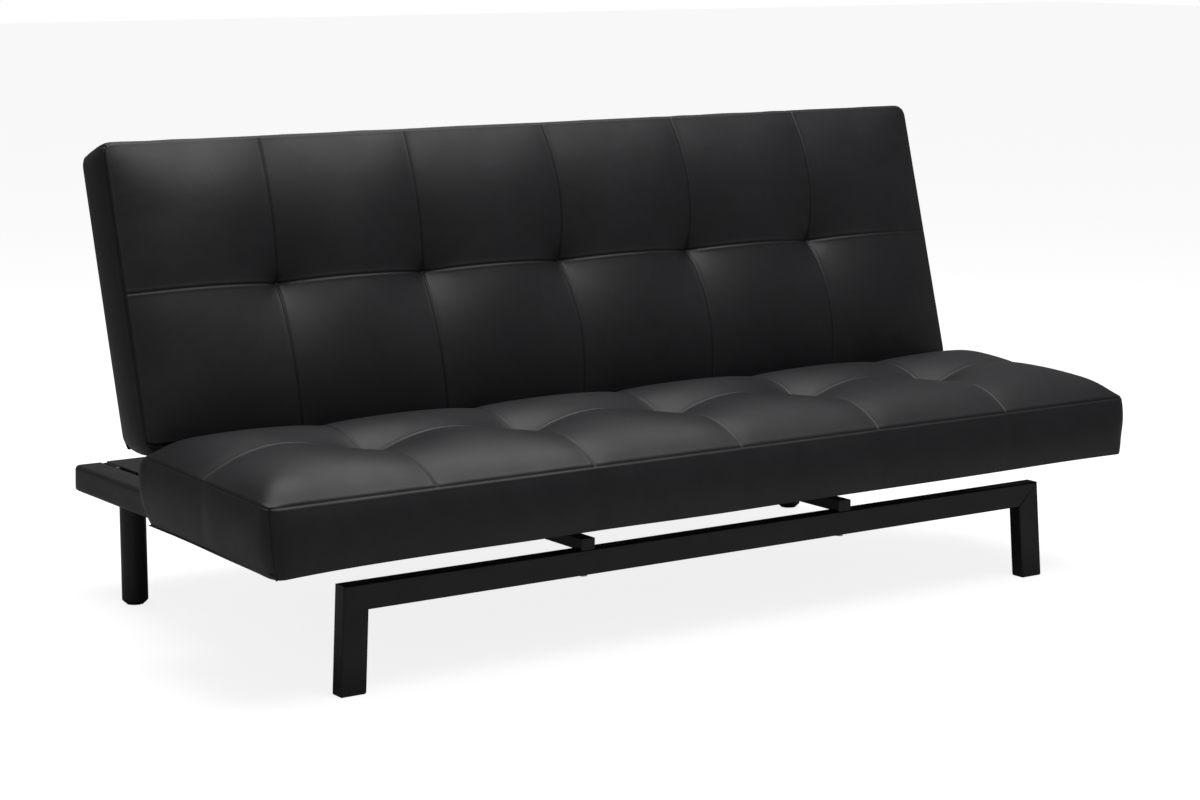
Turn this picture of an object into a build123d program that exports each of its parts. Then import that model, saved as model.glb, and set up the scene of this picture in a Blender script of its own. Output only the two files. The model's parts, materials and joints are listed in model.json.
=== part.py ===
from build123d import *
from math import atan2, cos, degrees, hypot, radians, sin
import os

os.makedirs("parts", exist_ok=True)

# Click-clack sofa bed.  +Z up, the sitter looks along -Y, X runs along the sofa.
# The origin is on the floor, in the middle of the whole sofa.

# ---- driving dimensions, millimetres -------------------------------------------------
seat_width = 1876            # seat cushion, end to end
seat_depth = 471             # seat cushion, front to rear
seat_band = 116              # boxed side of the seat cushion, up to its top seam
seat_crown = 34              # how far the seat pad stands above that seam
back_width = 1824            # backrest cushion, end to end
back_height = 534            # backrest cushion, along its own slope
back_band = 94               # boxed side of the backrest cushion
back_crown = 16              # how far its front pad stands proud of its seam
back_lean = 16               # degrees from upright
base_height = 186            # floor to the top of the front beam and rear legs

# front bridge, welded from one rectangular tube
bridge_inset = 167           # seat end to bridge corner
bridge_setback = 67          # seat front to bridge front
tube_face = 49
tube_depth = 31
beam_face = 45
tube_wall = 2
tube_corner = 3              # outside radius of the tube's long edges
leg_splay = 11.7             # how far each foot stands outside its corner
leg_rake = 5.2               # how far each foot stands in front of the beam
foot_plate = 6               # plastic foot under each tube

# two bars that tie the bridge to the rear base
bar_spacing = 574
bar_width = 28
bar_height = 20
bar_wall = 1.5

# rear base: timber rails wrapped in wadding and leathercloth
arm_inset = 130              # seat end to the arm's outer side
arm_width = 58
arm_height = 50
wrap = 3                     # wadding and leathercloth
board = 3                    # hardboard deck between the arms
rail_width = 50
front_rail_ahead = 225       # pivot line to the front rail's front
centre_rail_behind = 125     # pivot line to the centre rail's front
rear_leg_diameter = 49
rear_leg_ahead = 194         # sofa's rear edge to the leg's centre
glide = 3
leg_chamfer = 5
glide_inset = 8
stud_reach = 31              # leg stud, into the leg and into the arm
back_stop_radius = 18
seat_stop_behind = 117       # bridge front to the seat's rubber stops

# click-clack fitting, one at each end
bracket_bolts = (-100, 20, 70)      # along the arm from the pivot line
bracket_foot_ahead = 120
bracket_foot_behind = 90
bracket_margin = 7           # bracket foot to the arm's edges
post_ahead = 19              # bracket's upright, each side of the pivot line
post_behind = 13
pawl_ahead = 14              # pivot line to the pawl's own pin
pawl_below = 54
nose_bite = 2                # how deep the pawl's nose enters a notch
bolt_short = 12              # bolts end this far inside the arm's outer face
head_height = 3              # pin heads
bolt_head_height = 4
nut_height = 6
arm_low = 30                 # seat arm's middle over the seat's underside
seat_arm_reach = 250
seat_bolts = (110, 225)      # from the seat's rear
back_arm_depth = 64          # back arm's middle behind the back's face
back_elbow_up = 50
back_arm_up = 280
back_bolts = (120, 255)      # up the backrest
slot_spare = 1.5
pivot_to_seat = 26           # pivot line to the seat's rear face
pivot_to_back = 17.7         # pivot line to the backrest's lower face
pivot_below_seam = 4
plate = 4                    # steel plate of the arms and brackets
plate_gap = 0.5              # free space between neighbouring plates
pin_radius = 5
running = 0.06               # radial clearance of a pin that turns
hub_radius = 14
arm_radius = 12
neck_radius = 9.5            # slimmer stretch of the back arm beside the pawl
sector_radius = 24
relax_step = 35              # degrees from the upright notch to the relax notch
nose_radius = 3
pawl_hub = 8
pawl_pin_radius = 4
notch_play = 0.7             # free space round the pawl in its notch
notch_step = 5               # degrees between the pawl's swept positions
nose_turn = 15               # degrees that the pawl swings
spring_room = 4              # pin head to pawl, taken up by a cone washer
spring_play = 0.3            # washer's bore round the pin
spring_steel = 1.2
bolt_radius = 4
bolt_head = 6.5
hole_clearance = 0.1

# cushions
cover = 2                    # leathercloth with its wadding
pad_wall = 12                # foam outside the timber frame
timber = 20
seat_timber_height = 54
back_timber_height = 50
spring_wire = 3
fit_gap = 0.3                # between soft pieces and what they sit on
tuft_pull = 42               # how far the ties draw the tufts down into the pad
tie_radius = 1.5
tie_washer = 12
washer_height = 2.4
cloth = 1
corner_radius = 18           # cushion's corners seen from above
shoulder_radius = 20         # cushion's top edges
spring_reach = 16            # half the width of a no-sag spring's zigzag
spring_step = 42
spring_bend = 7
panels = 6                   # sewn panels across each cushion

# ---- places worked out from the sizes ------------------------------------------------
sofa_depth = seat_depth + pivot_to_seat + pivot_to_back + back_height
front_y = -sofa_depth / 2
rear_y = sofa_depth / 2
seat_rear_y = front_y + seat_depth
seat_mid_y = front_y + seat_depth / 2
deck_z = base_height + arm_height
seat_z = deck_z + 2
seam_z = seat_z + seat_band
pivot_y = seat_rear_y + pivot_to_seat
pivot_z = seam_z - pivot_below_seam
lean_sin = sin(radians(back_lean))
lean_cos = cos(radians(back_lean))
foot_y = pivot_y + pivot_to_back * lean_sin
foot_z = pivot_z + pivot_to_back * lean_cos
beam_front_y = front_y + bridge_setback
bridge_half = seat_width / 2 - bridge_inset
arm_outer = seat_width / 2 - arm_inset
arm_inner = arm_outer - arm_width
arm_mid = arm_outer - arm_width / 2
bar_top = base_height + bar_height
front_rail_y = pivot_y - front_rail_ahead
centre_rail_y = pivot_y + centre_rail_behind
rear_leg_y = rear_y - rear_leg_ahead
seat_pitch = seat_width / panels
back_pitch = back_width / panels

# plates stand side by side inside each arm, measured from the middle of the sofa
bracket_x = arm_inner - plate - plate_gap
seat_arm_x = bracket_x - plate - plate_gap
back_arm_x = seat_arm_x - plate - plate_gap
seat_rib_x = seat_arm_x - timber
back_rib_x = back_arm_x - timber

sides = (("left", -1), ("right", 1))


def save(part, name):
    part.label = name
    export_step(part, "parts/" + name + ".step")


def side_plane(side, inner, thickness):
    # YZ plane from which +X extrusion fills inner..inner+thickness on that side
    start = inner if side > 0 else -inner - thickness
    return Plane.YZ.offset(start)


def back_point(up, behind):
    # a point of the backrest's own frame, as sofa Y and Z
    y = foot_y + up * lean_sin + behind * lean_cos
    z = foot_z + up * lean_cos - behind * lean_sin
    return (y, z)


def turned(point, centre, angle):
    # point turned about centre, anticlockwise as seen from +X
    dy = point[0] - centre[0]
    dz = point[1] - centre[1]
    c = cos(radians(angle))
    s = sin(radians(angle))
    return (centre[0] + dy * c - dz * s, centre[1] + dy * s + dz * c)


def link(a, b, radius, mode=Mode.ADD):
    # round-ended strip from a to b, inside a sketch
    with Locations(((a[0] + b[0]) / 2, (a[1] + b[1]) / 2)):
        SlotCenterToCenter(
            hypot(b[0] - a[0], b[1] - a[1]),
            2 * radius,
            rotation=degrees(atan2(b[1] - a[1], b[0] - a[0])),
            mode=mode,
        )


def hexagon_bolt(plane, head_height, length, radius, head_radius):
    # head on the -Z side of the plane, shank along +Z
    with BuildPart() as bolt:
        with BuildSketch(plane):
            RegularPolygon(head_radius, 6, major_radius=False)
        extrude(amount=-head_height)
        with BuildSketch(plane):
            Circle(radius)
        extrude(amount=length)
    return bolt.part


# ---- front bridge: beam and two splayed legs, mitred ---------------------------------
beam_bottom = base_height - beam_face
inner_corner_x = bridge_half - tube_face + leg_splay * beam_face / base_height


def leg_section(height, inset):
    # the leg tube's section at a height, drawn in by inset
    drop = (base_height - height) / base_height
    x = bridge_half - tube_face / 2 + leg_splay * drop
    y = beam_front_y + tube_depth / 2 - leg_rake * drop
    with BuildSketch(Plane.XY.offset(height)) as section:
        with Locations((x, y)):
            RectangleRounded(tube_face - 2 * inset, tube_depth - 2 * inset, tube_corner - inset)
    return section.sketch


with BuildPart() as beyond_mitre:
    # the space outside the mitre line and everything below the beam
    slope = (bridge_half - inner_corner_x) / beam_face
    peak = (bridge_half + slope * beam_face, base_height + beam_face)
    inner_corner = (inner_corner_x, beam_bottom)
    far_in = inner_corner_x - 2 * tube_face
    far_out = bridge_half + 2 * tube_face
    with BuildSketch(Plane.XZ.offset(-beam_front_y - 2 * tube_depth)):
        with BuildLine():
            Polyline(inner_corner, peak, (far_out, peak[1]), (far_out, -1), (far_in, -1),
                     (far_in, beam_bottom), inner_corner)
        make_face()
    extrude(amount=4 * tube_depth)

with BuildPart() as right_leg:
    loft(sections=[leg_section(foot_plate, 0), leg_section(base_height, 0)])
    loft(
        sections=[leg_section(foot_plate, tube_wall), leg_section(base_height - tube_wall, tube_wall)],
        mode=Mode.SUBTRACT,
    )
    add(beyond_mitre.part, mode=Mode.INTERSECT)
save(right_leg.part, "front_leg_right")
save(mirror(right_leg.part, about=Plane.YZ), "front_leg_left")

with BuildPart() as beam:
    beam_plane = Plane.YZ.offset(-bridge_half)
    beam_centre = (beam_front_y + tube_depth / 2, base_height - beam_face / 2)
    with BuildSketch(beam_plane):
        with Locations(beam_centre):
            RectangleRounded(tube_depth, beam_face, tube_corner)
            RectangleRounded(
                tube_depth - 2 * tube_wall,
                beam_face - 2 * tube_wall,
                tube_corner - tube_wall,
                mode=Mode.SUBTRACT,
            )
    extrude(amount=2 * bridge_half)
    add(beyond_mitre.part, mode=Mode.SUBTRACT)
    add(mirror(beyond_mitre.part, about=Plane.YZ), mode=Mode.SUBTRACT)
    with Locations((-bar_spacing / 2, beam_centre[0], 0), (bar_spacing / 2, beam_centre[0], 0)):
        Cylinder(
            bolt_radius + hole_clearance,
            base_height + tube_wall,
            align=(Align.CENTER, Align.CENTER, Align.MIN),
            mode=Mode.SUBTRACT,
        )
save(beam.part, "front_beam")

foot_sections = [leg_section(0, 2), leg_section(2, 0), leg_section(foot_plate, 0)]
with BuildPart() as right_foot:
    loft(sections=foot_sections[:2])
    loft(sections=foot_sections[1:])
    loft(sections=[leg_section(z, tube_wall + hole_clearance) for z in (foot_plate, 4 * foot_plate)])
save(right_foot.part, "front_foot_right")
save(mirror(right_foot.part, about=Plane.YZ), "front_foot_left")

# ---- bars from the bridge to the rear base --------------------------------------------
bar_rear_y = centre_rail_y + rail_width
bar_length = bar_rear_y - beam_front_y
rail_bolt_rows = (front_rail_y + rail_width / 2, centre_rail_y + rail_width / 2)

for side_name, side in sides:
    bar_x = side * bar_spacing / 2
    with BuildPart() as bar:
        with BuildSketch(Plane.XZ.offset(-beam_front_y)):
            with Locations((bar_x, base_height + bar_height / 2)):
                Rectangle(bar_width, bar_height)
                Rectangle(bar_width - 2 * bar_wall, bar_height - 2 * bar_wall, mode=Mode.SUBTRACT)
        extrude(amount=-bar_length)
        with Locations((bar_x, beam_centre[0], base_height)):
            Cylinder(bolt_radius + hole_clearance, bar_height, mode=Mode.SUBTRACT)
        with Locations(*[(bar_x, y, base_height + bar_height / 2) for y in rail_bolt_rows]):
            Cylinder(bolt_radius + hole_clearance, 2 * bar_height, mode=Mode.SUBTRACT)
    save(bar.part, "tie_bar_" + side_name)

with BuildPart() as bar_caps:
    with BuildSketch(Plane.XZ.offset(-beam_front_y)):
        with Locations(*[(side * bar_spacing / 2, base_height + bar_height / 2) for _, side in sides]):
            Rectangle(bar_width - 2 * bar_wall - 0.2, bar_height - 2 * bar_wall - 0.2)
    extrude(amount=-2)
save(bar_caps.part, "bar_caps")

beam_bolt_length = beam_face + bar_wall + nut_height + 2
with BuildPart() as beam_bolts:
    for _, side in sides:
        head = Plane.XY.offset(beam_bottom).move(Location((side * bar_spacing / 2, beam_centre[0], 0)))
        add(hexagon_bolt(head, bolt_head_height, beam_bolt_length, bolt_radius, bolt_head))
save(beam_bolts.part, "beam_bolts")

with BuildPart() as beam_nuts:
    with BuildSketch(Plane.XY.offset(base_height + bar_wall)):
        with Locations(*[(side * bar_spacing / 2, beam_centre[0]) for _, side in sides]):
            RegularPolygon(bolt_head, 6, major_radius=False)
            Circle(bolt_radius + running, mode=Mode.SUBTRACT)
    extrude(amount=nut_height)
save(beam_nuts.part, "beam_nuts")

# ---- timber rails of the rear base -----------------------------------------------------
rail_top = deck_z - board
rail_bolt_depth = bar_top + 15
with BuildPart() as rail_bolts:
    for _, side in sides:
        for y in rail_bolt_rows:
            head = Plane.XY.offset(base_height).move(Location((side * bar_spacing / 2, y, 0)))
            add(hexagon_bolt(head, bolt_head_height, rail_bolt_depth - base_height, bolt_radius, bolt_head))
save(rail_bolts.part, "rail_bolts")

for rail_name, rail_y in (("front_rail", front_rail_y), ("centre_rail", centre_rail_y)):
    with BuildPart() as cross_rail:
        with Locations((0, rail_y + rail_width / 2, (bar_top + rail_top) / 2)):
            Box(2 * arm_inner, rail_width, rail_top - bar_top)
        for _, side in sides:
            with Locations((side * bar_spacing / 2, rail_y + rail_width / 2, bar_top)):
                Cylinder(
                    bolt_radius + hole_clearance,
                    2 * (rail_bolt_depth - bar_top),
                    mode=Mode.SUBTRACT,
                )
    save(cross_rail.part, rail_name)

rear_rail_depth = arm_width - wrap
with BuildPart() as rear_rail:
    with Locations((0, rear_y - wrap - rear_rail_depth / 2, (base_height + wrap + rail_top) / 2)):
        Box(2 * arm_inner, rear_rail_depth, rail_top - base_height - wrap)
save(rear_rail.part, "rear_rail")

with BuildPart() as rear_wrap:
    with BuildSketch(Plane.YZ.offset(-arm_inner)):
        with BuildLine():
            Polyline(
                (rear_y - arm_width, base_height),
                (rear_y, base_height),
                (rear_y, rail_top),
                (rear_y - wrap, rail_top),
                (rear_y - wrap, base_height + wrap),
                (rear_y - arm_width, base_height + wrap),
                close=True,
            )
        make_face()
    extrude(amount=2 * arm_inner)
save(rear_wrap.part, "rear_wrap")

deck_half = back_arm_x + plate
deck_front_y = front_rail_y
with BuildPart() as deck:
    with Locations((0, (deck_front_y + rear_y) / 2, deck_z - board / 2)):
        Box(2 * deck_half, rear_y - deck_front_y, board)
save(deck.part, "deck_board")

# ---- padded arms at the ends of the base, with their brackets ---------------------------
arm_front_y = front_rail_y
arm_length = rear_y - arm_front_y
bracket_bolt_rows = [pivot_y + along for along in bracket_bolts]
bracket_foot_front = pivot_y - bracket_foot_ahead
bracket_foot_rear = pivot_y + bracket_foot_behind
bracket_foot_low = base_height + bracket_margin
bracket_foot_high = deck_z - bracket_margin
bolt_z = (bracket_foot_low + bracket_foot_high) / 2
bracket_bolt_length = arm_width - bolt_short
post_front = pivot_y - post_ahead
post_rear = pivot_y + post_behind

pawl_axis = (pivot_y - pawl_ahead, pivot_z - pawl_below)
nose_in = (pivot_y, pivot_z - sector_radius + nose_bite)
nose_out = turned(nose_in, pawl_axis, -nose_turn)

for side_name, side in sides:
    with BuildPart() as arm_core:
        with Locations((side * arm_mid, (arm_front_y + rear_y - wrap) / 2, base_height + arm_height / 2)):
            Box(arm_width - 2 * wrap, arm_length - wrap, arm_height - 2 * wrap)
        with BuildSketch(side_plane(side, arm_inner, arm_width)):
            with Locations(*[(y, bolt_z) for y in bracket_bolt_rows]):
                Circle(bolt_radius + hole_clearance)
        extrude(amount=arm_width, mode=Mode.SUBTRACT)
        with Locations((side * arm_mid, rear_leg_y, base_height)):
            Cylinder(bolt_radius + hole_clearance, 2 * stud_reach, mode=Mode.SUBTRACT)
    save(arm_core.part, "side_rail_" + side_name)

    with BuildPart() as arm_wrap:
        with Locations((side * arm_mid, (arm_front_y + rear_y) / 2, base_height + arm_height / 2)):
            Box(arm_width, arm_length, arm_height)
        fillet(arm_wrap.edges().filter_by(Axis.Y), wrap + 2)
        rear_edges = arm_wrap.faces().sort_by(Axis.Y)[-1].edges()
        fillet(rear_edges, wrap)
        with Locations((side * arm_mid, (arm_front_y + rear_y - wrap) / 2, base_height + arm_height / 2)):
            Box(arm_width - 2 * wrap, arm_length - wrap, arm_height - 2 * wrap, mode=Mode.SUBTRACT)
        with BuildSketch(side_plane(side, arm_inner, wrap)):
            with Locations(*[(y, bolt_z) for y in bracket_bolt_rows]):
                Circle(bolt_radius + hole_clearance)
        extrude(amount=wrap, mode=Mode.SUBTRACT)
        with Locations((side * arm_mid, rear_leg_y, base_height)):
            Cylinder(bolt_radius + hole_clearance, 3 * wrap, mode=Mode.SUBTRACT)
    save(arm_wrap.part, "arm_wrap_" + side_name)

    with BuildPart() as leg:
        with BuildSketch(Plane.XY.offset(glide)):
            with Locations((side * arm_mid, rear_leg_y)):
                Circle(rear_leg_diameter / 2)
        extrude(amount=base_height - glide)
        chamfer(leg.faces().sort_by(Axis.Z)[0].edges(), leg_chamfer)
        with Locations((side * arm_mid, rear_leg_y, base_height)):
            Cylinder(bolt_radius + hole_clearance, 2 * stud_reach, mode=Mode.SUBTRACT)
    save(leg.part, "rear_leg_" + side_name)

    with BuildPart() as bracket:
        with BuildSketch(side_plane(side, bracket_x, plate)):
            foot_mid = ((bracket_foot_front + bracket_foot_rear) / 2, bolt_z)
            with Locations(foot_mid):
                RectangleRounded(
                    bracket_foot_rear - bracket_foot_front,
                    bracket_foot_high - bracket_foot_low,
                    bracket_margin,
                )
            post_mid = ((post_front + post_rear) / 2, (bolt_z + pivot_z) / 2)
            with Locations(post_mid):
                Rectangle(post_rear - post_front, pivot_z - bolt_z)
            with Locations((pivot_y, pivot_z)):
                Circle(post_rear - pivot_y)
            with Locations(((post_front + post_rear) / 2, pivot_z)):
                Circle((post_rear - post_front) / 2)
            with Locations((pivot_y, pivot_z)):
                Circle(pin_radius + running, mode=Mode.SUBTRACT)
            with Locations(pawl_axis):
                Circle(pawl_pin_radius + running, mode=Mode.SUBTRACT)
            with Locations(*[(y, bolt_z) for y in bracket_bolt_rows]):
                Circle(bolt_radius + hole_clearance, mode=Mode.SUBTRACT)
        extrude(amount=plate)
    save(bracket.part, "bracket_" + side_name)

with BuildPart() as leg_studs:
    with Locations(*[(side * arm_mid, rear_leg_y, base_height) for _, side in sides]):
        Cylinder(bolt_radius, 2 * stud_reach - 2)
save(leg_studs.part, "leg_studs")

with BuildPart() as rear_glides:
    with BuildSketch(Plane.XY):
        with Locations(*[(side * arm_mid, rear_leg_y) for _, side in sides]):
            Circle(rear_leg_diameter / 2 - glide_inset)
    extrude(amount=glide)
save(rear_glides.part, "rear_glides")

with BuildPart() as bracket_bolts:
    for _, side in sides:
        for y in bracket_bolt_rows:
            head = Plane(origin=(side * bracket_x, y, bolt_z), x_dir=(0, 1, 0), z_dir=(side, 0, 0))
            add(hexagon_bolt(head, bolt_head_height, bracket_bolt_length, bolt_radius, bolt_head))
save(bracket_bolts.part, "bracket_bolts")

# ---- pins, pawls and their springs -------------------------------------------------------
with BuildPart() as pivot_pins:
    for _, side in sides:
        inner = back_arm_x - head_height - plate_gap
        outer = bracket_x + plate + 0.2
        with BuildSketch(side_plane(side, inner, head_height)):
            with Locations((pivot_y, pivot_z)):
                Circle(2 * pin_radius - 1)
        extrude(amount=head_height)
        with BuildSketch(side_plane(side, inner, outer - inner + head_height)):
            with Locations((pivot_y, pivot_z)):
                Circle(pin_radius)
        extrude(amount=outer - inner + head_height)
        with BuildSketch(side_plane(side, outer, head_height)):
            with Locations((pivot_y, pivot_z)):
                Circle(2 * pin_radius - 1)
        extrude(amount=head_height)
save(pivot_pins.part, "pivot_pins")

with BuildPart() as pawl_pins:
    for _, side in sides:
        inner = back_arm_x - spring_room
        outer = bracket_x + plate
        with BuildSketch(side_plane(side, inner - head_height, head_height)):
            with Locations(pawl_axis):
                Circle(pawl_hub - 1)
        extrude(amount=head_height)
        with BuildSketch(side_plane(side, inner, outer - inner)):
            with Locations(pawl_axis):
                Circle(pawl_pin_radius)
        extrude(amount=outer - inner)
        shoulder_inner = back_arm_x + plate + 0.2
        with BuildSketch(side_plane(side, shoulder_inner, bracket_x - shoulder_inner)):
            with Locations(pawl_axis):
                Circle(pawl_pin_radius + 1)
        extrude(amount=bracket_x - shoulder_inner)
save(pawl_pins.part, "pawl_pins")

# each spring is a cone washer between the pin's head and the pawl
spring_out = back_arm_x - plate_gap / 2
spring_in = back_arm_x - spring_room + plate_gap / 2
rim = pawl_axis[1] + pawl_hub
bore = pawl_axis[1] + pawl_pin_radius + spring_play
with BuildPart() as right_spring:
    with BuildSketch(Plane(origin=(0, pawl_axis[0], 0), x_dir=(1, 0, 0), z_dir=(0, -1, 0))):
        with BuildLine():
            Polyline(
                (spring_out, rim),
                (spring_out - spring_steel, rim),
                (spring_in, bore),
                (spring_in + spring_steel, bore),
                close=True,
            )
        make_face()
    revolve(axis=Axis((0, *pawl_axis), (1, 0, 0)))
with BuildPart() as pawl_springs:
    add(right_spring.part)
    add(mirror(right_spring.part, about=Plane.YZ))
save(pawl_springs.part, "pawl_springs")


def pawl_outline(swing, spare):
    # the pawl's outline turned towards its notch by swing, grown by spare
    with BuildSketch() as outline:
        with Locations(pawl_axis):
            Circle(pawl_hub + spare)
        with Locations(turned(nose_out, pawl_axis, swing)):
            Circle(nose_radius + spare)
        make_hull()
    return outline.sketch


for side_name, side in sides:
    with BuildPart() as pawl:
        with BuildSketch(side_plane(side, back_arm_x, plate)):
            add(pawl_outline(0, 0))
            with Locations(pawl_axis):
                Circle(pawl_pin_radius + running, mode=Mode.SUBTRACT)
        extrude(amount=plate)
    save(pawl.part, "pawl_" + side_name)

# ---- rubber stops ----------------------------------------------------------------------
seat_stop_y = beam_front_y + seat_stop_behind
with BuildPart() as seat_stops:
    with BuildSketch(Plane.XY.offset(bar_top)):
        with Locations(*[(side * bar_spacing / 2, seat_stop_y) for _, side in sides]):
            Circle(bar_width / 2 - 1)
    extrude(amount=seat_z - bar_top - fit_gap)
save(seat_stops.part, "seat_stops")

flat_back_z = pivot_z - back_band
back_stop_x = (arm_inner * 0.8, arm_inner * 0.28)
with BuildPart() as back_stops:
    with BuildSketch(Plane.XY.offset(deck_z)):
        with Locations(*[(side * x, rear_y - arm_width / 2) for _, side in sides for x in back_stop_x]):
            Circle(back_stop_radius)
    extrude(amount=flat_back_z - deck_z - fit_gap)
save(back_stops.part, "back_stops")

# ---- seat arms and back arms ---------------------------------------------------------------
pivot = (pivot_y, pivot_z)
seat_arm_z = seat_z + arm_low
seat_elbow = (seat_rear_y - arm_low, seat_arm_z)
seat_arm_end = (seat_rear_y - seat_arm_reach, seat_arm_z)
back_elbow = back_point(back_elbow_up, back_arm_depth)
back_arm_end = back_point(back_arm_up, back_arm_depth)
seat_bolt_rows = [(seat_rear_y - along, seat_arm_z) for along in seat_bolts]
back_bolt_rows = [back_point(up, back_arm_depth) for up in back_bolts]


def seat_slot(side):
    # the space that the seat arm needs inside the cushion
    with BuildPart() as slot:
        with BuildSketch(side_plane(side, seat_arm_x - 0.4, plate + 0.8)):
            link(pivot, seat_elbow, arm_radius + slot_spare)
            link(seat_elbow, seat_arm_end, arm_radius + slot_spare)
        extrude(amount=plate + 0.8)
    return slot.part


def back_slot(side):
    # the space that the back arm needs inside the backrest
    with BuildPart() as slot:
        with BuildSketch(side_plane(side, back_arm_x - 0.4, plate + 0.8)):
            link(pivot, back_elbow, arm_radius + slot_spare)
            link(back_elbow, back_arm_end, arm_radius + slot_spare)
        extrude(amount=plate + 0.8)
    return slot.part


# room that the pawl sweeps through with the back upright, relaxed and flat
notches = []
for notch_angle in (0, relax_step, 90 - back_lean):
    for swing in range(0, nose_turn + 1, notch_step):
        swept = pawl_outline(swing, notch_play)
        notches.append(swept.rotate(Axis((*pivot, 0), (0, 0, 1)), notch_angle))

for side_name, side in sides:
    with BuildPart() as seat_arm:
        with BuildSketch(side_plane(side, seat_arm_x, plate)):
            with Locations(pivot):
                Circle(hub_radius)
            link(pivot, seat_elbow, arm_radius)
            link(seat_elbow, seat_arm_end, arm_radius)
            with Locations(pivot):
                Circle(pin_radius + running, mode=Mode.SUBTRACT)
            with Locations(*seat_bolt_rows):
                Circle(bolt_radius + hole_clearance, mode=Mode.SUBTRACT)
        extrude(amount=plate)
    save(seat_arm.part, "seat_arm_" + side_name)

    with BuildPart() as back_arm:
        with BuildSketch(side_plane(side, back_arm_x, plate)):
            # toothed sector first, then the hub and the arm
            with Locations(pivot):
                Circle(sector_radius)
            wedge = [turned((pivot_y, pivot_z - 2 * sector_radius), pivot, a) for a in (-15, 12, 39, 66)]
            with BuildLine():
                Polyline(pivot, *wedge, close=True)
            make_face(mode=Mode.INTERSECT)
            for notch in notches:
                add(notch, mode=Mode.SUBTRACT)
            with Locations(pivot):
                Circle(hub_radius)
            link(pivot, back_elbow, neck_radius)
            link(back_elbow, back_arm_end, arm_radius)
            with Locations(pivot):
                Circle(pin_radius + running, mode=Mode.SUBTRACT)
            with Locations(*back_bolt_rows):
                Circle(bolt_radius + hole_clearance, mode=Mode.SUBTRACT)
        extrude(amount=plate)
    save(back_arm.part, "back_arm_" + side_name)

# ---- cushions: cover, foam, timber frame, springs, tufting ties and bottom cloth --------------
pocket_end = cover + pad_wall
seat_plane = Plane(origin=(0, seat_mid_y, seat_z), x_dir=(1, 0, 0), z_dir=(0, 0, 1))
back_rear_plane = Plane(
    origin=(0, *back_point(back_height / 2, back_band)),
    x_dir=(1, 0, 0),
    z_dir=(0, -lean_cos, lean_sin),
)
seat_pocket = seat_timber_height + spring_wire + cloth
back_pocket = back_timber_height + spring_wire + cloth


def padded_block(plane, width, height, thickness, corner, shoulder):
    # a plain cushion standing on its plane, with rounded top edges
    with BuildPart() as block:
        with BuildSketch(plane):
            RectangleRounded(width, height, corner)
        extrude(amount=thickness)
        top = block.faces().sort_by(Axis(plane.origin, plane.z_dir))[-1]
        fillet(top.edges(), shoulder)
    return block.part


def frame_piece(plane, x, y, width, height, low, high):
    # a straight timber inside a cushion, between two heights over its plane
    with BuildPart() as piece:
        with BuildSketch(plane.offset(low)):
            with Locations((x, y)):
                Rectangle(width, height)
        extrude(amount=high - low)
    return piece.part


def zigzag(x, low, high, reach, step):
    # corners of a no-sag spring that runs from low to high
    count = 2 * round((high - low) / step / 2)
    rise = (high - low) / count
    corners = [(x, low)]
    for k in range(count):
        swing = reach if k % 2 == 0 else -reach
        corners.append((x + swing, low + (k + 0.2) * rise))
        corners.append((x + swing, low + (k + 0.8) * rise))
    corners.append((x, high))
    return corners


def save_cushion(name, plane, width, height, thickness, pocket, timber_height, rib_x, slots, long_rails):
    inner_w = width - 2 * pocket_end
    inner_h = height - 2 * pocket_end
    outside = padded_block(plane, width, height, thickness, corner_radius, shoulder_radius)
    filling = padded_block(
        plane,
        width - 2 * cover,
        height - 2 * cover,
        thickness - cover,
        corner_radius - cover,
        shoulder_radius - cover,
    )
    with BuildPart() as skin:
        add(outside)
        add(filling, mode=Mode.SUBTRACT)
        add(slots, mode=Mode.SUBTRACT)
    save(skin.part, name + "_cover")

    tie_x = [(k - panels / 2) * width / panels for k in range(1, panels)]
    with BuildPart() as foam:
        add(filling)
        with BuildSketch(plane):
            Rectangle(inner_w, inner_h)
        extrude(amount=pocket, mode=Mode.SUBTRACT)
        add(slots, mode=Mode.SUBTRACT)
        with BuildSketch(plane.offset(pocket)):
            with Locations(*[(x, 0) for x in tie_x]):
                Circle(tie_radius + 0.5)
        extrude(amount=thickness, mode=Mode.SUBTRACT)
    save(foam.part, name + "_foam")

    with BuildPart() as ties:
        with BuildSketch(plane.offset(pocket - washer_height)):
            with Locations(*[(x, 0) for x in tie_x]):
                Circle(tie_washer)
        extrude(amount=washer_height)
        with BuildSketch(plane.offset(pocket)):
            with Locations(*[(x, 0) for x in tie_x]):
                Circle(tie_radius)
        extrude(amount=thickness - cover - pocket - tuft_pull)
    save(ties.part, name + "_tuft_ties")

    # timbers lie between the bottom cloth and the springs
    low = cloth
    high = cloth + timber_height
    long_y = inner_h / 2 - timber / 2
    for part_name, y in long_rails:
        rail = frame_piece(plane, 0, y * long_y, inner_w, timber, low, high)
        with BuildPart() as long_rail:
            add(rail)
            add(slots, mode=Mode.SUBTRACT)
        save(long_rail.part, name + "_timber_" + part_name)

    for side_name, side in sides:
        end = frame_piece(plane, side * (inner_w - timber) / 2, 0, timber, inner_h - 2 * timber, low, high)
        save(end, name + "_timber_end_" + side_name)

    with BuildPart() as ribs:
        for x in (-rib_x - timber / 2, 0, rib_x + timber / 2):
            add(frame_piece(plane, x, 0, timber, inner_h - 2 * timber, low, high))
    return ribs, inner_w, inner_h, high


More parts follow.
